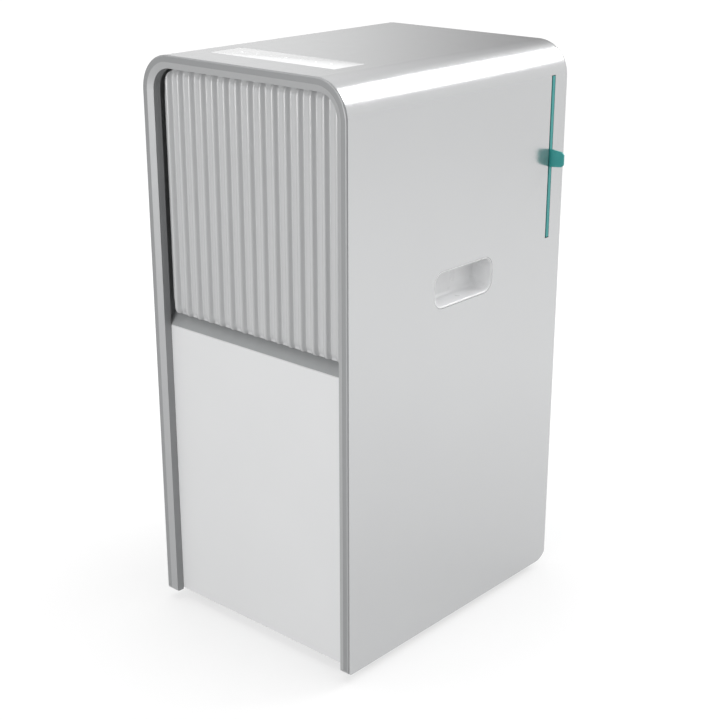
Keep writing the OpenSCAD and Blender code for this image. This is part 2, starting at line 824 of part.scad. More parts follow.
module compressor() {
    dome = 22;
    foot_w = 32;
    foot_out = 10;
    sink = 2;                            // how far a foot runs up into the shell
    color("#2b2d2f") {
        translate([comp_x, comp_y, comp_z]) rotate_extrude() union() {
            translate([0, dome]) square([comp_r, comp_h - 2 * dome]);
            for (z = [dome, comp_h - dome]) translate([0, z]) intersection() {
                translate([comp_r - dome, 0]) circle(dome);
                translate([0, -dome]) square([comp_r, 2 * dome]);
            }
            square([comp_r - dome, comp_h]);
        }
        for (a = comp_feet) translate([comp_x, comp_y, comp_z - comp_foot_t]) rotate([0, 0, a])
            difference() {
                translate([-foot_w / 2, 0, 0]) cube([foot_w, comp_r + foot_out, comp_foot_t + sink]);
                translate([0, comp_r, -1]) cylinder(h = comp_foot_t + sink + 2, r = comp_hole_r);
            }
        translate([comp_x, comp_y, comp_z - comp_foot_t])
            cylinder(h = comp_foot_t + sink, r = comp_r - dome + sink);
    }
}

module compressor_grommets() {
    rubber_r = 9;
    floor_z = pan_z + pan_t;
    color("#1d1e1f") for (a = comp_feet) translate([comp_x, comp_y, 0]) rotate([0, 0, a])
        translate([0, comp_r, floor_z]) {
            cylinder(h = comp_z - comp_foot_t - floor_z, r = rubber_r);
            cylinder(h = comp_z + comp_foot_t - floor_z, r = comp_hole_r - 0.2);
        }
}

module accumulator() {
    neck = 10;
    neck_r = 9;
    body_r = 16;
    color("#34373a") {
        translate([acc_x, acc_y, acc_z0 + neck]) cylinder(h = acc_z1 - acc_z0 - 2 * neck, r = body_r);
        translate([acc_x, acc_y, acc_z0]) cylinder(h = acc_z1 - acc_z0, r = neck_r);
    }
}

// Pipe that rises, turns and runs straight along +Y.
module riser_pipe(x, y, z0, z1, y1, r) {
    bend = 14;
    translate([x, y, z0]) cylinder(h = z1 - bend - z0, r = r);
    translate([x, y + bend, z1 - bend]) rotate([90, 0, -90])
        rotate_extrude(angle = 90) translate([bend, 0]) circle(r);
    rod_y(x, z1, y + bend, y1 - y - bend, r);
}

module discharge_pipe() {
    pipe_r = 4;
    color("#b87345") riser_pipe(comp_x, discharge_y, comp_z + comp_h, discharge_z, cond_y - 6, pipe_r);
}

module suction_pipe() {
    pipe_r = 5;
    color("#b87345") riser_pipe(acc_x, acc_y, acc_z1, suction_z, cond_y - 6, pipe_r);
}

module run_capacitor() {
    x = 110;
    y = -60;
    z = pan_z + pan_t;
    can_h = 80;
    can_r = 20;
    terminal_x = 8;
    color("#d8d9d6") {
        translate([x, y, z]) cylinder(h = can_h, r = can_r);
        for (s = [-1, 1]) translate([x + s * terminal_x, y, z + can_h - 1]) cylinder(h = 7, r = 2.5);
    }
}

module control_box() {
    color("#4a4e51") difference() {
        block(box_x0, box_x1, box_y0, box_y1, box_z0, box_z1);
        block(box_x0 - 1, box_x1 - box_wall, box_y0 + box_wall, box_y1 - box_wall,
              box_z0 + box_wall, box_z1 - box_wall);
    }
}

module control_box_cover() {
    cover_t = 2.4;
    x = box_x0 - 0.2;
    color("#5d6265") block(x - cover_t, x, box_y0, box_y1, box_z0, box_z1);
}

module main_board() {
    x = box_x1 - 10;
    y = box_y0 + 6;
    z = box_z0 + 6;
    // height, then where it starts and how far it runs along Y and along Z
    components = [[24, 12, 30, 16, 30], [16, 52, 24, 56, 40], [12, 7, 30, 76, 40]];
    color("#2f7a4d") block(x, x + board_t, y, box_y1 - 6, z, box_z1 - 6);
    color("#26282a") for (c = components)
        block(x - c[0], x + eps, y + c[1], y + c[1] + c[2], z + c[3], z + c[3] + c[4]);
}

module humidity_sensor() {
    x = -120;
    w = 30;
    z = 440;
    h = 25;
    slot_pitch = 4;
    slot = 2;
    color("#eef0f0") difference() {
        block(x, x + w, panel_y - 14, panel_y - 0.1, z, z + h);
        for (i = [0 : 4])
            block(x - 1, x + w + 1, panel_y - 12, panel_y - 4,
                  z + 3 + slot_pitch * i, z + 3 + slot_pitch * i + slot);
    }
}

// ---------- fan ----------

module fan_shroud() {
    w = 296;
    z0 = deck_z + deck_t;
    z1 = 712;
    plate_r = 20;
    pipe_hole_r = 7;
    color("#9da1a4") difference() {
        union() {
            slab_y(shroud_y, shroud_t) translate([0, (z0 + z1) / 2]) round_rect(w, z1 - z0, plate_r);
            rod_y(0, fan_z, ring_y0, shroud_y - ring_y0 + eps, ring_r + 3);
        }
        rod_y(0, fan_z, ring_y0 - 1, shroud_y + shroud_t - ring_y0 + 2, ring_r);
        rod_y(comp_x, discharge_z, shroud_y - 1, shroud_t + 2, pipe_hole_r);
        rod_y(acc_x, suction_z, shroud_y - 1, shroud_t + 2, pipe_hole_r);
    }
}

module motor_bracket() {
    plate_t = 5;
    arm = 6;                             // half the width of an arm
    eye_r = 12;
    y0 = ring_y0 - plate_t;
    color("#6f7376") difference() {
        union() {
            rod_y(0, fan_z, y0, plate_t, motor_r + 2);
            for (a = [0 : 90 : 270]) translate([0, 0, fan_z]) rotate([0, a, 0])
                block(0, ring_r + 3, y0, ring_y0, -arm, arm);
        }
        rod_y(0, fan_z, y0 - 1, plate_t + 3, eye_r);
    }
}

module fan_motor() {
    y1 = ring_y0 - 5;
    body = 46;
    cap = 10;
    cap_r = 24;
    rib = 1.2;                           // half the thickness of a cooling rib
    rib_out = 2.5;
    color("#b0b4b6") difference() {
        union() {
            rod_y(0, fan_z, y1 - body, body, motor_r);
            rod_y(0, fan_z, y1 - body - cap, cap + 1, cap_r);
            for (a = [0 : 30 : 330]) translate([0, 0, fan_z]) rotate([0, a, 0])
                block(motor_r - 1, motor_r + rib_out, y1 - body + 6, y1 - 6, -rib, rib);
        }
        rod_y(0, fan_z, y1 - body + 20, body, shaft_r + fit_gap);
    }
}

module fan_shaft() {
    shaft_len = 68;
    color("#c9ccce") rod_y(0, fan_z, ring_y0 - 30, shaft_len, shaft_r);
}

module fan_impeller() {
    y0 = ring_y0 + 9;
    hub_len = 26;
    boss_wall = 12;                      // ring-shaped hollow between the hub's wall and its boss
    blade_pitch = 28;
    blade_t = 2.6;
    chord = 68;
    color("#dfe2e3") difference() {
        union() {
            rod_y(0, fan_z, y0, hub_len, hub_r);
            translate([0, y0 + hub_len / 2, fan_z]) for (i = [0 : blade_count - 1])
                rotate([0, i * 360 / blade_count, 0]) intersection() {
                    rotate([blade_pitch, 0, 0])
                        translate([hub_r - 5, -blade_t / 2, -chord / 2]) cube([fan_r, blade_t, chord]);
                    rotate([90, 0, 0]) cylinder(h = hub_len - 3, r = fan_r, center = true);
                }
        }
        rod_y(0, fan_z, y0 - 1, hub_len + 2, shaft_r);
        rod_y(0, fan_z, y0 - 1, hub_len - 5, hub_r - 3 - boss_wall);
        rod_y(0, fan_z, y0 + hub_len - 4, 5, 7);
    }
}

// ---------- water tank ----------

module tank_shelf() {
    z = tank_z - rail_base - shelf_t;
    foot_x = 132;
    foot_y1 = 110;
    brace_x = 60;
    color("#8a8e90") {
        block(-shelf_x, shelf_x, shelf_y0, panel_y - 10, z, z + shelf_t);
        for (s = [-1, 1])
            block(s > 0 ? foot_x : -foot_x - shelf_t, s > 0 ? foot_x + shelf_t : -foot_x,
                  shelf_y0, foot_y1, pan_z + pan_t, z + eps);
        block(-brace_x, brace_x, shelf_y0, shelf_y0 + shelf_t, pan_z + pan_t, z + eps);
    }
}

// Two rails on the shelf that guide the tank as it slides.
module tank_rails() {
    z = tank_z - rail_base;
    x = 137;
    rail_t = 3;
    rail_h = 17;
    flange_t = 2;
    y0 = shelf_y0 + 6;
    y1 = panel_y - 12;
    color("#9ea2a4") for (s = [-1, 1]) {
        block(s > 0 ? x : -x - rail_t, s > 0 ? x + rail_t : -x, y0, y1, z, z + rail_h);
        block(s > 0 ? x : -shelf_x, s > 0 ? shelf_x : -x, y0, y1, z, z + flange_t);
    }
}

module water_tank() {
    w = tank_w / 2;
    z1 = tank_z + tank_h;
    face_t = 5;
    grip_z0 = z1 - 62;
    ear = 6;                             // half the size of a float hinge's ear
    ear_t = 3;
    color("#e9eeef") difference() {
        union() {
            difference() {
                block(-w, w, tank_y0, tank_y1 - 2, tank_z, z1);
                block(-w + tank_wall, w - tank_wall, tank_y0 + tank_wall, tank_y1 - face_t,
                      tank_z + tank_wall, z1 + 1);
            }
            slab_y(tank_y1 - face_t, face_t) translate([0, tank_face_z + tank_face_h / 2])
                round_rect(tank_face_w, tank_face_h, 6);
            block(-tank_grip_w / 2 - tank_wall, tank_grip_w / 2 + tank_wall,
                  tank_y1 - 2 - tank_grip_d, tank_y1 - 4,
                  grip_z0 - tank_wall, grip_z0 + tank_grip_h + tank_wall);
            for (s = [-1, 1])
                block(float_x + s * ear_x - ear_t / 2, float_x + s * ear_x + ear_t / 2, tank_y0 + 1,
                      float_y + ear, float_z - ear, float_z + ear);
            for (s = [-1, 1]) rod_x(s > 0 ? w - 1 : -w - 5, bail_y, bail_z, 6, bail_pin_r);
        }
        block(-tank_grip_w / 2, tank_grip_w / 2, tank_y1 - tank_grip_d, tank_y1 + 1,
              grip_z0, grip_z0 + tank_grip_h);
        rod_x(float_x - 12, float_y, float_z, 24, float_pin_r + fit_gap);
    }
}

module tank_lid() {
    w = tank_w / 2;
    z = tank_z + tank_h;
    lid_t = 2.5;
    pour = [-110, -50, 100, 180];        // opening the tank is emptied through
    color("#d4dadb") difference() {
        block(-w, w, tank_y0, tank_y1 - 5.5, z, z + lid_t);
        translate([0, funnel_y, z - 1]) cylinder(h = lid_t + 2, r = 24);
        block(pour[0], pour[1], pour[2], pour[3], z - 1, z + lid_t + 1);
    }
}

module tank_handle() {
    w = tank_w / 2;
    x0 = w + 0.6;
    arm = 8;
    arm_t = 4;
    bar_r = 4.5;
    color("#8c9092") translate([0, bail_y, bail_z]) rotate([-bail_tilt, 0, 0]) difference() {
        union() {
            for (s = [-1, 1]) {
                rod_x(s > 0 ? x0 : -x0 - arm_t, 0, 0, arm_t, 2 * bail_pin_r);
                block(s > 0 ? x0 : -x0 - arm_t, s > 0 ? x0 + arm_t : -x0, -bail_len, 0, -arm / 2, arm / 2);
            }
            rod_x(-x0 - arm_t, -bail_len, 0, 2 * (x0 + arm_t), bar_r);
        }
        for (s = [-1, 1]) rod_x(s > 0 ? w : -w - 6, 0, 0, 6, bail_pin_r + fit_gap);
    }
}

module tank_float() {
    arm = 4;                             // half the width of the float's arm
    arm_len = 34;
    float_r = 16;
    drum_y = float_y + 44;
    color("#f0efe6") {
        rod_x(float_x - ear_x - 2, float_y, float_z, 2 * ear_x + 4, float_pin_r);
        block(float_x - arm, float_x + arm, float_y, float_y + arm_len,
              float_z - float_pin_r, float_z + float_pin_r);
        translate([float_x, drum_y, float_z - 24]) cylinder(h = 30, r = float_r);
    }
    color("#3a3c3e") translate([float_x, drum_y, float_z + 6 - eps]) cylinder(h = 4, r = 6);
}

module float_switch() {
    z = deck_z - 16;
    body_h = 10;
    y = float_y + 44;                    // over the float's drum
    color("#e6e7e7") {
        block(float_x - 15, float_x + 15, y - 10, y + 10, z, z + body_h);
        block(float_x - 5, float_x + 5, y - 4, y + 4, z + body_h - eps, deck_z);
    }
}

// ---------- castors ----------

module castor_bushes() {
    color("#c2c5c7") for (x = [-castor_x, castor_x], y = [-castor_y, castor_y])
        translate([x, y, pocket_z]) difference() {
            cylinder(h = bush_z1 - pocket_z, r = bush_r);
            translate([0, 0, -1]) cylinder(h = bush_z1 - pocket_z + 2, r = stem_r + fit_gap);
        }
}

module castor_fork(x, y) {
    cheek = 2.5;
    inner = wheel_w / 2 + 0.5;
    outer = inner + cheek;
    plate_t = 3.5;
    plate_r = 14;
    axle_r = 3;
    color("#a5a9ab") translate([x, y, 0]) {
        translate([0, 0, fork_plate_z]) cylinder(h = bush_z1 - 2 - fork_plate_z, r = stem_r);
        translate([0, 0, fork_plate_z]) cylinder(h = plate_t, r = plate_r);
        for (s = [-1, 1]) {
            x0 = s > 0 ? inner : -outer;
            block(x0, x0 + cheek, -9, 9 + castor_trail / 2, wheel_r + 8, fork_plate_z + 2);
            rod_x(x0, castor_trail, wheel_r, cheek, 7);
            block(x0, x0 + cheek, castor_trail - 7, castor_trail + 7, wheel_r, wheel_r + 9);
        }
        rod_x(-outer - 1, castor_trail, wheel_r, 2 * (outer + 1), axle_r);
    }
}

module castor_wheel(x, y) {
    bead = 1.5;                          // step between the tread and the wheel's side
    color("#3b3d3f") translate([x, y + castor_trail, wheel_r]) rotate([0, 90, 0]) difference() {
        union() {
            cylinder(h = wheel_w - 2 * bead, r = wheel_r, center = true);
            cylinder(h = wheel_w, r = wheel_r - bead, center = true);
        }
        cylinder(h = wheel_w + 2, r = 3 + fit_gap, center = true);
    }
}

module castor_fork_front_left() {
    castor_fork(-castor_x, -castor_y);
}

module castor_fork_front_right() {
    castor_fork(castor_x, -castor_y);
}

module castor_fork_rear_left() {
    castor_fork(-castor_x, castor_y);
}

module castor_fork_rear_right() {
    castor_fork(castor_x, castor_y);
}

module castor_wheel_front_left() {
    castor_wheel(-castor_x, -castor_y);
}

module castor_wheel_front_right() {
    castor_wheel(castor_x, -castor_y);
}

module castor_wheel_rear_left() {
    castor_wheel(-castor_x, castor_y);
}

module castor_wheel_rear_right() {
    castor_wheel(castor_x, castor_y);
}

// Every piece is drawn about the cabinet's own middle; this moves it to the unit's origin.
module at_origin() {
    translate([shift_x, 0, 0]) children();
}

at_origin() outer_sleeve();
at_origin() front_bezel();
at_origin() lower_front_panel();
at_origin() fluted_panel();
at_origin() outlet_frame();
at_origin() touch_lens();
at_origin() control_housing();
at_origin() display_board();
at_origin() handle_cup_right();
at_origin() handle_cup_left();
at_origin() rear_panel();
at_origin() inlet_grille();
at_origin() panel_screws();
at_origin() cable_gland();
at_origin() filter_guide();
at_origin() filter_frame();
at_origin() filter_mesh();
at_origin() filter_pull_tab();
at_origin() base_pan();
at_origin() middle_deck();
at_origin() coil_brackets();
at_origin() drip_tray();
at_origin() drain_spigot();
at_origin() drain_plug();
at_origin() evaporator_fins();
at_origin() evaporator_tubes();
at_origin() condenser_fins();
at_origin() condenser_tubes();
at_origin() compressor();
at_origin() compressor_grommets();
at_origin() accumulator();
at_origin() discharge_pipe();
at_origin() suction_pipe();
at_origin() run_capacitor();
at_origin() control_box();
at_origin() control_box_cover();
at_origin() main_board();
at_origin() humidity_sensor();
at_origin() fan_shroud();
at_origin() motor_bracket();
at_origin() fan_motor();
at_origin() fan_shaft();
at_origin() fan_impeller();
at_origin() tank_shelf();
at_origin() tank_rails();
at_origin() water_tank();
at_origin() tank_lid();
at_origin() tank_handle();
at_origin() tank_float();
at_origin() float_switch();
at_origin() castor_bushes();
at_origin() castor_fork_front_left();
at_origin() castor_fork_front_right();
at_origin() castor_fork_rear_left();
at_origin() castor_fork_rear_right();
at_origin() castor_wheel_front_left();
at_origin() castor_wheel_front_right();
at_origin() castor_wheel_rear_left();
at_origin() castor_wheel_rear_right();
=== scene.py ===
import json
import math
import random

import bmesh
import bpy
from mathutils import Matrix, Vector


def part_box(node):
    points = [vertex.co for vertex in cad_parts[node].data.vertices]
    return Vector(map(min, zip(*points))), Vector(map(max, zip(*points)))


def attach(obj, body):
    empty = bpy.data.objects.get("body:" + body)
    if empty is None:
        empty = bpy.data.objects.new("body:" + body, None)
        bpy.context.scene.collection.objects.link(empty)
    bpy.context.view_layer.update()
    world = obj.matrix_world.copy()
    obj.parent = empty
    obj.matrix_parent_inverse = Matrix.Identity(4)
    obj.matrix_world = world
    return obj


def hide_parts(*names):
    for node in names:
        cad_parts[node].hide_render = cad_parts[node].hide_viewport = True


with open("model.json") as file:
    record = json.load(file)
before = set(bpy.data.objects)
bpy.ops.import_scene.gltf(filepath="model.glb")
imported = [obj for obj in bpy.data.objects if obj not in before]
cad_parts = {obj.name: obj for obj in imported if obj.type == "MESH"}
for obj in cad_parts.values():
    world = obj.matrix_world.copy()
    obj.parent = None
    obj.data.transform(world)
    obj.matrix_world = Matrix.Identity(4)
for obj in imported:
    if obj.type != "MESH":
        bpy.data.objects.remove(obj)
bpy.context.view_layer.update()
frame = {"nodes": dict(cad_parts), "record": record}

nodes = frame["nodes"]


# ---------- materials ----------

def node_material(name):
    """New material with its node tree, its shader and its object coordinates."""
    m = bpy.data.materials.new(name)
    m.use_nodes = True
    tree = m.node_tree
    shader = tree.nodes["Principled BSDF"]
    coords = tree.nodes.new("ShaderNodeTexCoord")
    return m, tree, shader, coords.outputs["Object"]


def stretched(tree, vector, scale):
    n = tree.nodes.new("ShaderNodeMapping")
    n.inputs["Scale"].default_value = scale
    tree.links.new(vector, n.inputs["Vector"])
    return n.outputs["Vector"]


def noise(tree, vector, scale, detail=3.0, rough=0.5):
    n = tree.nodes.new("ShaderNodeTexNoise")
    n.inputs["Scale"].default_value = scale
    n.inputs["Detail"].default_value = detail
    n.inputs["Roughness"].default_value = rough
    tree.links.new(vector, n.inputs["Vector"])
    return n.outputs["Fac"]


def remap(tree, value, lo, hi, frm=(0.3, 0.7)):
    n = tree.nodes.new("ShaderNodeMapRange")
    n.inputs["From Min"].default_value, n.inputs["From Max"].default_value = frm
    n.inputs["To Min"].default_value, n.inputs["To Max"].default_value = lo, hi
    tree.links.new(value, n.inputs["Value"])
    return n.outputs["Result"]


def tone(tree, value, colour, spread, frm=(0.3, 0.7)):
    """Colour that wanders between a little darker and a little lighter."""
    n = tree.nodes.new("ShaderNodeMix")
    n.data_type = "RGBA"
    tree.links.new(remap(tree, value, 0.0, 1.0, frm), n.inputs[0])
    n.inputs[6].default_value = [c * (1 - spread) for c in colour] + [1]
    n.inputs[7].default_value = [min(1.0, c * (1 + spread)) for c in colour] + [1]
    return n.outputs[2]


def bump(tree, height, strength, distance, under=None):
    n = tree.nodes.new("ShaderNodeBump")
    n.inputs["Strength"].default_value = strength
    n.inputs["Distance"].default_value = distance
    tree.links.new(height, n.inputs["Height"])
    if under is not None:
        tree.links.new(under, n.inputs["Normal"])
    return n.outputs["Normal"]


def moulded(name, colour, rough, metallic=0.0, spread=0.02, grain=900.0, grain_depth=0.00004,
            grain_strength=0.3, peel=0.0, coat=0.0, coat_rough=0.1, spec=0.5, stretch=(1, 1, 1),
            rough_spread=0.04, sheen=0.0):
    """Moulded, painted or drawn surface: slow tone drift, roughness drift and a fine grain."""
    m, tree, shader, co = node_material(name)
    drift_scale, rough_scale, peel_scale, peel_depth = 9.0, 45.0, 130.0, 0.0002
    slow = noise(tree, co, drift_scale, 2.0)
    fine = noise(tree, stretched(tree, co, stretch), grain, 2.0)
    tree.links.new(tone(tree, slow, colour, spread), shader.inputs["Base Color"])
    tree.links.new(remap(tree, noise(tree, stretched(tree, co, stretch), rough_scale, 4.0),
                         rough - rough_spread, rough + rough_spread), shader.inputs["Roughness"])
    normal = bump(tree, fine, grain_strength, grain_depth)
    if peel:
        normal = bump(tree, noise(tree, co, peel_scale, 1.0), peel, peel_depth, normal)
    tree.links.new(normal, shader.inputs["Normal"])
    shader.inputs["Metallic"].default_value = metallic
    shader.inputs["Coat Weight"].default_value = coat
    shader.inputs["Coat Roughness"].default_value = coat_rough
    shader.inputs["Specular IOR Level"].default_value = spec
    if sheen:
        shader.inputs["Sheen Weight"].default_value = sheen
    return m


finish_of = {
    "cabinet_gloss": moulded("cabinet_gloss", (0.56, 0.565, 0.57), 0.2, metallic=0.8, spread=0.006,
                             grain=1600, grain_strength=0.05, peel=0.02, rough_spread=0.02),
    "rim_silver": moulded("rim_silver", (0.31, 0.315, 0.32), 0.42, metallic=0.2, spread=0.008,
                          grain=1600, grain_strength=0.03, rough_spread=0.02),
    "panel_white": moulded("panel_white", (0.83, 0.835, 0.84), 0.42, spread=0.008, grain=1500,
                           grain_strength=0.16),
    "flute_white": moulded("flute_white", (0.55, 0.555, 0.56), 0.16, spread=0.004, grain=1300,
                           grain_strength=0.03, rough_spread=0.02, spec=1.0),
    "frame_grey": moulded("frame_grey", (0.37, 0.38, 0.385), 0.5, spread=0.03, grain=1200),
    "lens_white": moulded("lens_white", (0.93, 0.935, 0.94), 0.14, spread=0.004, grain=800,
                          grain_strength=0.03, coat=0.6, coat_rough=0.05),
    "dark_plastic": moulded("dark_plastic", (0.05, 0.053, 0.056), 0.5, spread=0.08, grain=1000),
    "board_green": moulded("board_green", (0.02, 0.12, 0.05), 0.35, spread=0.12, grain=500,
                           grain_strength=0.25, coat=0.3),
    "rear_white": moulded("rear_white", (0.66, 0.67, 0.68), 0.46, spread=0.012, grain=900,
                          grain_strength=0.35),
    "filter_teal": moulded("filter_teal", (0.04, 0.36, 0.345), 0.42, spread=0.05, grain=1200,
                           grain_strength=0.25),
    "mesh_white": moulded("mesh_white", (0.78, 0.82, 0.82), 0.55, spread=0.03, grain=2500,
                          sheen=0.3),
    "inner_grey": moulded("inner_grey", (0.36, 0.37, 0.38), 0.55, spread=0.04, grain=700),
    "tank_plastic": moulded("tank_plastic", (0.68, 0.74, 0.76), 0.3, spread=0.008, grain=600,
                            grain_strength=0.06, coat=0.1, rough_spread=0.015),
    "zinc_steel": moulded("zinc_steel", (0.6, 0.61, 0.62), 0.36, metallic=0.95, spread=0.08,
                          grain=500, stretch=(1, 1, 12), grain_strength=0.2, rough_spread=0.1),
    "fin_aluminium": moulded("fin_aluminium", (0.7, 0.72, 0.74), 0.38, metallic=0.9, spread=0.06,
                             grain=700, stretch=(1, 8, 1)),
    "copper_tube": moulded("copper_tube", (0.62, 0.29, 0.16), 0.34, metallic=1.0, spread=0.16,
                           grain=400, stretch=(8, 1, 1), rough_spread=0.12),
    "black_enamel": moulded("black_enamel", (0.018, 0.018, 0.02), 0.24, spread=0.15, grain=300,
                            grain_strength=0.12, peel=0.08, coat=0.4),
    "black_rubber": moulded("black_rubber", (0.022, 0.022, 0.022), 0.68, spread=0.2, grain=1500,
                            grain_strength=0.5),
    "motor_steel": moulded("motor_steel", (0.5, 0.51, 0.52), 0.32, metallic=0.9, spread=0.06,
                           grain=500, stretch=(1, 14, 1), grain_strength=0.2, rough_spread=0.08),
    "foam_cream": moulded("foam_cream", (0.74, 0.7, 0.56), 0.8, spread=0.05, grain=1400,
                          grain_depth=0.0003, grain_strength=0.7),
    "wheel_nylon": moulded("wheel_nylon", (0.03, 0.032, 0.035), 0.4, spread=0.1, grain=900),
    "cup_satin": moulded("cup_satin", (0.83, 0.835, 0.84), 0.3, spread=0.006, grain=1400,
                         grain_strength=0.05, coat=0.25, coat_rough=0.12),
    "touch_mark": moulded("touch_mark", (0.98, 0.985, 0.99), 0.3, spread=0.004),
}


def painted_bevel_highlight(name, colour):
    """Painted highlight: a lighter tone where a surface turns about 22 to 37 degrees away from the front
    or the rear, standing in for the front light's reflection on the bevels.
    """
    face_on, side_on = (0.93, 0.985), (0.6, 0.8)
    tree = finish_of[name].node_tree
    shader = tree.nodes["Principled BSDF"]
    coords = next(n for n in tree.nodes if n.bl_idname == "ShaderNodeTexCoord")
    split = tree.nodes.new("ShaderNodeSeparateXYZ")
    tree.links.new(coords.outputs["Normal"], split.inputs[0])
    facing = tree.nodes.new("ShaderNodeMath")
    facing.operation = "ABSOLUTE"
    tree.links.new(split.outputs["Y"], facing.inputs[0])
    both = tree.nodes.new("ShaderNodeMath")
    both.operation = "MULTIPLY"
    tree.links.new(remap(tree, facing.outputs[0], 1.0, 0.0, face_on), both.inputs[0])
    tree.links.new(remap(tree, facing.outputs[0], 0.0, 1.0, side_on), both.inputs[1])
    # painted highlight: mixes the paler colour into the base colour on faces turned toward the front light
    mix = tree.nodes.new("ShaderNodeMix")
    mix.data_type = "RGBA"
    tree.links.new(both.outputs[0], mix.inputs[0])
    tree.links.new(shader.inputs["Base Color"].links[0].from_socket, mix.inputs[6])
    mix.inputs[7].default_value = [*colour, 1]
    tree.links.new(mix.outputs[2], shader.inputs["Base Color"])


# painted highlight on the rim's front bevels: paler base colour by orientation, in place of the front
# softbox's reflection on them
painted_bevel_highlight("rim_silver", (0.43, 0.435, 0.44))

slot_of_node = {s["node"]: s["material_slot"] for s in frame["record"]["subparts"]}
for name, obj in nodes.items():
    obj.data.materials.clear()
    obj.data.materials.append(finish_of[slot_of_node[name]])


# ---------- mesh helpers ----------

MM = 0.001
SMOOTH_ANGLE = math.radians(38)


def piece(name, verts, faces, slot, body, replaced=(), look=None):
    """Closed mesh from points in millimetres, riding on a body."""
    me = bpy.data.meshes.new(name)
    me.from_pydata([[c * MM for c in v] for v in verts], [], faces)
    bm = bmesh.new()
    bm.from_mesh(me)
    bmesh.ops.remove_doubles(bm, verts=bm.verts, dist=1e-6)
    bmesh.ops.recalc_face_normals(bm, faces=bm.faces)
    bm.to_mesh(me)
    bm.free()
    me.materials.append(finish_of[look or slot])
    me.polygons.foreach_set("use_smooth", [True] * len(me.polygons))
    me.set_sharp_from_angle(angle=SMOOTH_ANGLE)
    obj = bpy.data.objects.new(name, me)
    bpy.context.scene.collection.objects.link(obj)
    if replaced:
        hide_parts(*replaced)
    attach(obj, body)
    return obj


def rings(loops, capped=True, closed=False):
    """Skin over loops of equal length. Capped closes both ends, closed joins last to first."""
    n = len(loops[0])
    verts = [v for loop in loops for v in loop]
    faces = []
    count = len(loops)
    for i in range(count if closed else count - 1):
        j = (i + 1) % count
        for k in range(n):
            m = (k + 1) % n
            faces.append((i * n + k, i * n + m, j * n + m, j * n + k))
    if capped and not closed:
        faces.append(tuple(range(n)))
        faces.append(tuple((count - 1) * n + k for k in reversed(range(n))))
    return verts, faces


def join(parts):
    verts, faces = [], []
    for v, f in parts:
        base = len(verts)
        verts += v
        faces += [tuple(i + base for i in q) for q in f]
    return verts, faces


def turns(count):
    """Equally spaced angles of one full turn."""
    return [2 * math.pi * k / count for k in range(count)]


def round_rect(w, h, r, steps):
    """Outline points of a rectangle with round corners, centred on the origin."""
    points = []
    for cx, cy, start in ((w / 2 - r, h / 2 - r, 0), (-w / 2 + r, h / 2 - r, 90),
                          (-w / 2 + r, -h / 2 + r, 180), (w / 2 - r, -h / 2 + r, 270)):
        for i in range(steps + 1):
            a = math.radians(start + 90 * i / steps)
            points.append((cx + r * math.cos(a), cy + r * math.sin(a)))
    return points


def tube(path, radius, sides):
    """Round bar along a path of points, with flat ends."""
    loops = []
    for i, p in enumerate(path):
        a, b = Vector(path[max(i - 1, 0)]), Vector(path[min(i + 1, len(path) - 1)])
        t = (b - a).normalized()
        u = t.cross(Vector((0, 0, 1)) if abs(t.z) < 0.9 else Vector((1, 0, 0))).normalized()
        v = t.cross(u)
        loops.append([tuple(Vector(p) + radius * (math.cos(q) * u + math.sin(q) * v))
                      for q in turns(sides)])
    return rings(loops)


def node_box(name):
    """Lowest and highest corners of a CAD node, in millimetres."""
    lo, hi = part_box(name)
    return [c / MM for c in lo], [c / MM for c in hi]


# ---------- fluted outlet panel ----------

def fluted_panel():
    """Closed panel of round-topped ribs with straight flanks, falling back at its top and foot."""
    (x0, y0, z0), (x1, _, z1) = node_box("fluted_panel")
    panel_d, least_wall = 9, 0.6
    rear = y0 + panel_d
    ribs, per_rib = 15, 36
    end_run, end_drop = 11.0, 6.5
    end_steps, middle_steps = 10, 12
    foot_r, top_r = 8.0, 26.5
    pitch = (x1 - x0) / ribs
    lean_at = ((0, 0), (0.03, 13), (0.09, 27), (0.11, 64), (0.23, 64), (0.29, 0), (0.5, 0))

    def lean(u):
        """Slope angle of a rib at a distance u from its middle, in pitches."""
        for (u0, a0), (u1, a1) in zip(lean_at, lean_at[1:]):
            if u <= u1:
                return a0 + (a1 - a0) * (u - u0) / (u1 - u0)
        return 0.0

    step = pitch / per_rib
    profile = [0.0]
    for k in range(per_rib // 2):
        profile.append(profile[-1] + math.tan(math.radians(lean((k + 0.5) / per_rib))) * step)

    def corner_rise(edge, r):
        """Height of a round corner's arc at a distance from the panel's side."""
        return r - math.sqrt(max(0.0, r ** 2 - (r - min(edge, r)) ** 2))

    def end_fall(z, low, high):
        """How far the ribs fall back near the panel's top and foot."""
        t = max(0.0, 1 - min(z - low, high - z) / end_run)
        return end_drop * (1 - math.sqrt(max(0.0, 1 - t * t)))

    loops = []
    columns = ribs * per_rib
    for i in range(columns + 1):
        x = x0 + (x1 - x0) * i / columns
        edge = min(x - x0, x1 - x)
        low, high = z0 + corner_rise(edge, foot_r), z1 - corner_rise(edge, top_r)
        rib_y = y0 + profile[abs(i % per_rib - per_rib // 2)]
        middle = high - low - 2 * end_run
        zs = [low + end_run * k / end_steps for k in range(end_steps + 1)]
        zs += [low + end_run + middle * k / middle_steps for k in range(1, middle_steps)]
        zs += [high - end_run * (end_steps - k) / end_steps for k in range(end_steps + 1)]
        front = [(x, min(rib_y + end_fall(z, low, high), rear - least_wall), z) for z in zs]
        back = [(x, rear, z) for z in reversed(zs)]
        loops.append(front + back)
    piece("fluted_outlet_panel", *rings(loops), "flute_white", "cabinet", ["fluted_panel"])


# ---------- side handle pockets ----------

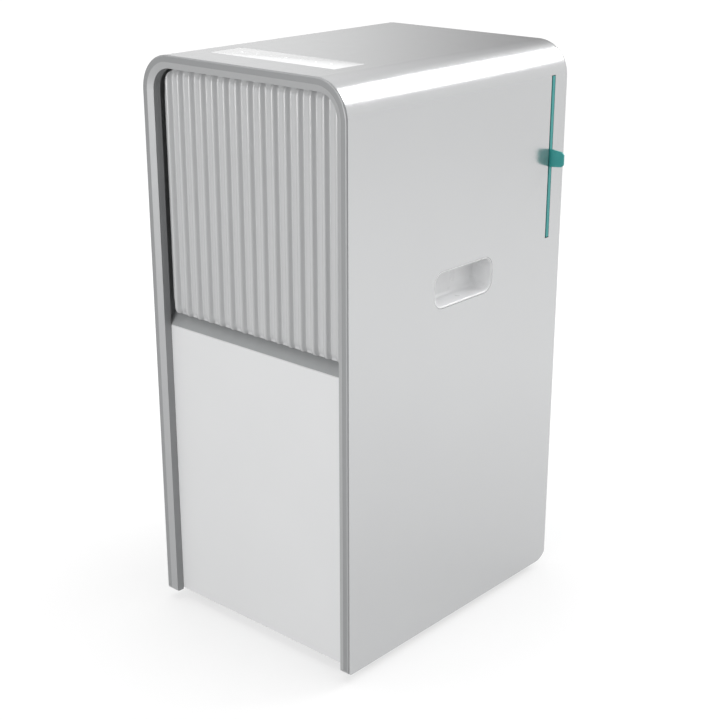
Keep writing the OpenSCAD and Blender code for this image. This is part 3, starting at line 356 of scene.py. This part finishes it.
def handle_pocket(node, side):
    """Moulded cup with a flange behind the cabinet's wall, a round lip and a round floor."""
    (x0, y0, z0), (x1, y1, z1) = node_box(node)
    face = x1 if side > 0 else x0
    flange, wall, deep = 7.0, 2.5, 26.0
    flange_front, flange_back, seat = 3.4, 5.7, 3.2
    corner, least_r, corner_steps = 16.0, 2.0, 12
    back_edge, nose, lip, draft, floor_r = 1.5, 0.45, 1.8, 1.2, 5.0
    cy, cz = (y0 + y1) / 2, (z0 + z1) / 2
    w, h = (y1 - y0) - 2 * flange, (z1 - z0) - 2 * flange
    quarter = [math.radians(15 * k) for k in range(1, 7)]

    def loop(inset, depth):
        outline = round_rect(w - 2 * inset, h - 2 * inset, max(corner - inset, least_r), corner_steps)
        return [(face - side * depth, cy + a, cz + b) for a, b in outline]

    inner = wall + draft
    loops = [loop(wall, deep + wall), loop(0, deep + wall - back_edge)]
    loops += [loop(0, flange_back), loop(-flange, flange_back), loop(-flange, flange_front), loop(0, seat)]
    loops += [loop(0, 0.5), loop(0.15, 0.12), loop(nose, 0.0)]
    loops += [loop(nose + (wall - nose) * math.sin(t), lip * (1 - math.cos(t))) for t in quarter]
    loops += [loop(inner, deep - floor_r)]
    loops += [loop(inner + floor_r * (1 - math.cos(t)), deep - floor_r * (1 - math.sin(t)))
              for t in quarter]
    piece(node + "_moulding", *rings(loops), "cabinet_gloss", "cabinet", [node], look="cup_satin")


# ---------- touch strip ----------

def touch_strip():
    """Lens with a rounded edge, and seven barely raised round marks for its keys."""
    (x0, y0, z0), (x1, y1, z1) = node_box("touch_lens")
    cx, cy = (x0 + x1) / 2, (y0 + y1) / 2
    w, d, corner, edge, corner_steps = x1 - x0, y1 - y0, 3.0, 0.6, 6
    edge_turns = [math.radians(a) for a in (22, 45, 68, 90)]

    def loop(inset, z):
        outline = round_rect(w - 2 * inset, d - 2 * inset, corner - inset, corner_steps)
        return [(cx + a, cy + b, z) for a, b in outline]

    loops = [loop(0, z0), loop(0, z1 - edge)]
    loops += [loop(edge * (1 - math.cos(t)), z1 - edge * (1 - math.sin(t))) for t in edge_turns]
    piece("touch_strip_lens", *rings(loops), "lens_white", "cabinet", ["touch_lens"])

    keys, key_pitch, key_sides = 7, 24, 20
    small_r, large_r = 1.3, 1.9
    rise, sink = 0.04, 0.4
    marks = []
    for i in range(keys):
        x = cx + (i - keys // 2) * key_pitch
        r = small_r if i % 3 else large_r
        ring = [(x + r * math.cos(a), cy + r * math.sin(a)) for a in turns(key_sides)]
        marks.append(rings([[(px, py, z) for px, py in ring] for z in (z1 - sink, z1 + rise)]))
    piece("touch_marks", *join(marks), "lens_white", "cabinet", look="touch_mark")


# ---------- filter mesh ----------

def filter_weave():
    """Woven screen in each of the frame's six windows."""
    (x0, y0, z0), (x1, y1, z1) = node_box("filter_mesh")
    gap, cols, rows = 4.0, 3, 2
    pitch, strand_r, strand_sides = 3.0, 0.32, 4
    y = (y0 + y1) / 2
    w, h = (x1 - x0 - (cols - 1) * gap) / cols, (z1 - z0 - (rows - 1) * gap) / rows
    nx, nz = round(w / pitch), round(h / pitch)

    def weave(k, m):
        """Which side of its neighbour strand k passes at crossing m."""
        return strand_r * (1 if (k + m) % 2 else -1)

    strands = []
    for i in range(cols):
        for j in range(rows):
            left, foot = x0 + i * (w + gap), z0 + j * (h + gap)
            for k in range(1, nx):
                path = [(left + w * k / nx, y + weave(k, m), foot + h * m / nz) for m in range(nz + 1)]
                strands.append(tube(path, strand_r, strand_sides))
            for k in range(1, nz):
                path = [(left + w * m / nx, y - weave(k, m), foot + h * k / nz) for m in range(nx + 1)]
                strands.append(tube(path, strand_r, strand_sides))
    piece("filter_weave", *join(strands), "mesh_white", "filter", ["filter_mesh"])


# ---------- coils ----------

def fin_pack(node, seed):
    """Stack of thin plates, a little uneven, that the tubes pass through."""
    (x0, y0, z0), (x1, y1, z1) = node_box(node)
    draw = random.Random(seed)
    count, thick, ripple, levels = 84, 0.5, 0.35, 8
    plates = []
    for i in range(count):
        x = x0 + (x1 - x0 - thick) * i / (count - 1)
        loops = []
        for k in range(levels + 1):
            z = z0 + (z1 - z0) * k / levels
            inside = 0 < i < count - 1 and 0 < k < levels
            a = x + (ripple * draw.uniform(-1, 1) if inside else 0.0)
            loops.append([(a, y0, z), (a + thick, y0, z), (a + thick, y1, z), (a, y1, z)])
        plates.append(rings(loops))
    piece(node + "_stack", *join(plates), "fin_aluminium", "cabinet", [node])


# ---------- fan ----------

def fan_wheel():
    """Seven cambered, twisted blades on a domed hub."""
    (x0, y0, z0), (x1, y1, z1) = node_box("fan_impeller")
    cx, cy, cz = (x0 + x1) / 2, (y0 + y1) / 2, (z0 + z1) / 2
    blades, stations, section_steps = 7, 12, 8
    hub_r, hub_len, tip_gap, root_sink, hub_sides = 34.0, 26.0, 0.2, 3, 64
    root_chord, belly, tip_cut = 44, 20, 16
    root_twist, untwist, sweep = 36, 16, 0.34
    camber, half_thick, edge_share = 4.0, 0.95, 0.25
    root, tip = hub_r - root_sink, (z1 - z0) / 2 - tip_gap
    reach = hub_len / 2 - 1

    def around(r, a, axial):
        return cx + r * math.cos(a), cy + axial, cz + r * math.sin(a)

    def section(t, turn):
        """Blade outline at a share t of the way from root to tip."""
        r = root + (tip - root) * t
        chord = root_chord + belly * math.sin(math.pi * min(1.0, t * 1.1)) - tip_cut * t ** 3
        twist = math.radians(root_twist - untwist * t)
        points = []
        for side in (1, -1):
            for k in range(section_steps + 1):
                u = k / section_steps if side > 0 else 1 - k / section_steps
                along = (u - 0.5) * chord
                up = camber * math.sin(math.pi * u)
                up += side * half_thick * (edge_share + math.sin(math.pi * u) ** 0.6)
                across = along * math.cos(twist) - up * math.sin(twist)
                axial = along * math.sin(twist) + up * math.cos(twist)
                axial = max(-reach, min(reach, axial))
                points.append(around(r, turn + sweep * t * t + across / r, axial))
        return points

    parts = [rings([section(i / stations, turn) for i in range(stations + 1)])
             for turn in turns(blades)]
    hub = [(4.02, 9), (16, 9), (17, -12), (20, -13), (32, -13), (34, -11), (34, 10),
           (31.5, 12.2), (26, 13), (4.02, 13)]
    parts.append(rings([[around(r, a, y) for r, y in hub] for a in turns(hub_sides)], closed=True))
    piece("fan_wheel", *join(parts), "inner_grey", "fan_rotor", ["fan_impeller"])


# ---------- castor wheels ----------

def castor_tyre(node, body):
    """Wheel with a round-edged tread, a thin web, a hub and six ribs."""
    (x0, y0, z0), (x1, y1, z1) = node_box(node)
    cx, cy, cz = (x0 + x1) / 2, (y0 + y1) / 2, (z0 + z1) / 2
    r, half, bore = (z1 - z0) / 2, (x1 - x0) / 2, 3.05
    web, rim_in, hub, sides = 2.0, (z1 - z0) / 2 - 4.5, 6.0, 72
    ribs, rib_half, rib_sink = 6, 0.8, 1.6
    profile = [(bore, half), (hub - 0.6, half), (hub, half - 0.6), (hub + 0.4, web),
               (rim_in - 0.6, web), (rim_in, half - 1.2), (rim_in + 0.8, half - 0.3),
               (r - 2.2, half - 0.1), (r - 0.9, half - 0.7), (r - 0.2, half - 2.0), (r, half - 3.6)]
    profile += [(q, -x) for q, x in reversed(profile)]
    loops = [[(cx + x, cy + q * math.cos(a), cz + q * math.sin(a)) for q, x in profile]
             for a in turns(sides)]
    parts = [rings(loops, closed=True)]
    axle = Vector((cx, cy, cz))
    for a in turns(ribs):
        out, beside = Vector((0, math.cos(a), math.sin(a))), Vector((0, -math.sin(a), math.cos(a)))
        across, along = beside * rib_half, Vector((half - rib_sink, 0, 0))
        loops = [[tuple(axle + out * q + across * s + along * t)
                  for s, t in ((-1, -1), (1, -1), (1, 1), (-1, 1))]
                 for q in (hub - 0.8, rim_in + 0.6)]
        parts.append(rings(loops))
    piece(node + "_tread", *join(parts), "wheel_nylon", body, [node])


# ---------- making the pieces ----------

fluted_panel()
handle_pocket("handle_cup_right", 1)
handle_pocket("handle_cup_left", -1)
touch_strip()
filter_weave()
fin_pack("evaporator_fins", 3)
fin_pack("condenser_fins", 5)
fan_wheel()
for end in ("front", "rear"):
    for hand in ("left", "right"):
        castor_tyre(f"castor_wheel_{end}_{hand}", f"wheel_{end}_{hand}")


# ---------- studio ----------

def studio_floor():
    """Pale floor whose glow is painted lower near the object, a painted contact shadow that fades out into
    the backdrop further away.
    """
    half = 60.0
    # painted shadow: the floor glows less near the object than far from it
    painted_shadow_glow, far_glow, painted_shadow_reach = 0.62, 0.8, (0.25, 1.1)
    me = bpy.data.meshes.new("floor")
    me.from_pydata([(-half, -half, 0), (half, -half, 0), (half, half, 0), (-half, half, 0)], [],
                   [(0, 1, 2, 3)])
    floor = bpy.data.objects.new("floor", me)
    bpy.context.scene.collection.objects.link(floor)
    m, tree, shader, co = node_material("studio_floor")
    tree.links.new(tone(tree, noise(tree, co, 3.0), (0.35, 0.35, 0.35), 0.01),
                   shader.inputs["Base Color"])
    shader.inputs["Roughness"].default_value = 0.9
    shader.inputs["Specular IOR Level"].default_value = 0.1
    shader.inputs["Emission Color"].default_value = (1, 1, 1, 1)
    # painted shadow: glow grows with distance from the origin, darkening the floor and its reflections in
    # the cabinet near the object
    reach = tree.nodes.new("ShaderNodeVectorMath")
    reach.operation = "LENGTH"
    tree.links.new(co, reach.inputs[0])
    tree.links.new(remap(tree, reach.outputs["Value"], painted_shadow_glow, far_glow, painted_shadow_reach),
                   shader.inputs["Emission Strength"])
    me.materials.append(m)
    floor.visible_diffuse = False


def softbox(name, place, target, size, power):
    """Rectangular light at a place, facing a target, in metres and watts."""
    light = bpy.data.lights.new(name, "AREA")
    light.shape = "RECTANGLE"
    light.size, light.size_y = size
    light.energy = power
    obj = bpy.data.objects.new(name, light)
    bpy.context.scene.collection.objects.link(obj)
    obj.location = place
    obj.rotation_mode = "QUATERNION"
    obj.rotation_quaternion = (Vector(target) - Vector(place)).to_track_quat("-Z", "Y")


def studio_world():
    """Grey room that brightens behind the object, seen directly as a pale backdrop."""
    world = bpy.data.worlds.new("studio")
    bpy.context.scene.world = world
    world.use_nodes = True
    tree = world.node_tree
    back = tree.nodes["Background"]
    split = tree.nodes.new("ShaderNodeSeparateXYZ")
    tree.links.new(tree.nodes.new("ShaderNodeTexCoord").outputs["Generated"], split.inputs[0])

    def ramp(axis, start, full, level):
        n = tree.nodes.new("ShaderNodeMapRange")
        n.interpolation_type = "SMOOTHSTEP"
        n.inputs["From Min"].default_value, n.inputs["From Max"].default_value = start, full
        n.inputs["To Min"].default_value, n.inputs["To Max"].default_value = 0.0, level
        tree.links.new(split.outputs[axis], n.inputs["Value"])
        return n.outputs["Result"]

    def math_node(kind, a, b):
        n = tree.nodes.new("ShaderNodeMath")
        n.operation = kind
        for socket, value in zip(n.inputs, (a, b)):
            if isinstance(value, float):
                socket.default_value = value
            else:
                tree.links.new(value, socket)
        return n.outputs[0]

    ambient, backdrop = 0.2, 0.96
    left = math_node("MULTIPLY", ramp("X", start=-0.1, full=-0.35, level=0.7),
                     ramp("Y", start=0.86, full=0.68, level=1.0))
    right = math_node("ADD", ramp("X", start=-0.35, full=-0.1, level=0.6),
                      ramp("X", start=0.15, full=0.5, level=0.28))
    behind = math_node("MULTIPLY", math_node("ADD", left, right),
                       ramp("Y", start=-0.15, full=0.3, level=1.0))
    overhead = ramp("Z", start=0.2, full=0.6, level=0.2)
    glow = math_node("ADD", math_node("ADD", behind, overhead), ambient)
    seen = tree.nodes.new("ShaderNodeMix")
    tree.links.new(tree.nodes.new("ShaderNodeLightPath").outputs["Is Camera Ray"], seen.inputs[0])
    tree.links.new(glow, seen.inputs[2])
    seen.inputs[3].default_value = backdrop
    tree.links.new(seen.outputs[0], back.inputs["Strength"])
    back.inputs["Color"].default_value = (1, 1, 1, 1)


studio_floor()
studio_world()
softbox("edge_light", (1.1, 2.6, 2.62), (1.1, 0, 2.62), (1.7, 1.35), 55)
softbox("front_light", (0.35, -3.0, 0.9), (0.1, 0, 0.55), (2.2, 1.6), 52)
softbox("side_light", (1.8, 0.1, 2.2), (0.1, 0, 0.5), (1.0, 1.0), 4)
softbox("top_light", (-0.3, -0.4, 2.6), (0, 0, 0.7), (1.2, 1.2), 14)

scene = bpy.context.scene
scene.view_settings.view_transform = "Standard"

camera = bpy.data.cameras.new("camera")
camera.lens = 72.06
camera.sensor_width = 36.0
cam = bpy.data.objects.new("camera", camera)
scene.collection.objects.link(cam)
cam.location = (1.1735, -1.3366, 0.9804)
yaw, pitch = math.radians(-41.57), math.radians(20.12)
aim = Vector((math.sin(yaw) * math.cos(pitch), math.cos(yaw) * math.cos(pitch), -math.sin(pitch)))
cam.rotation_mode = "QUATERNION"
cam.rotation_quaternion = aim.to_track_quat("-Z", "Y")
scene.camera = cam
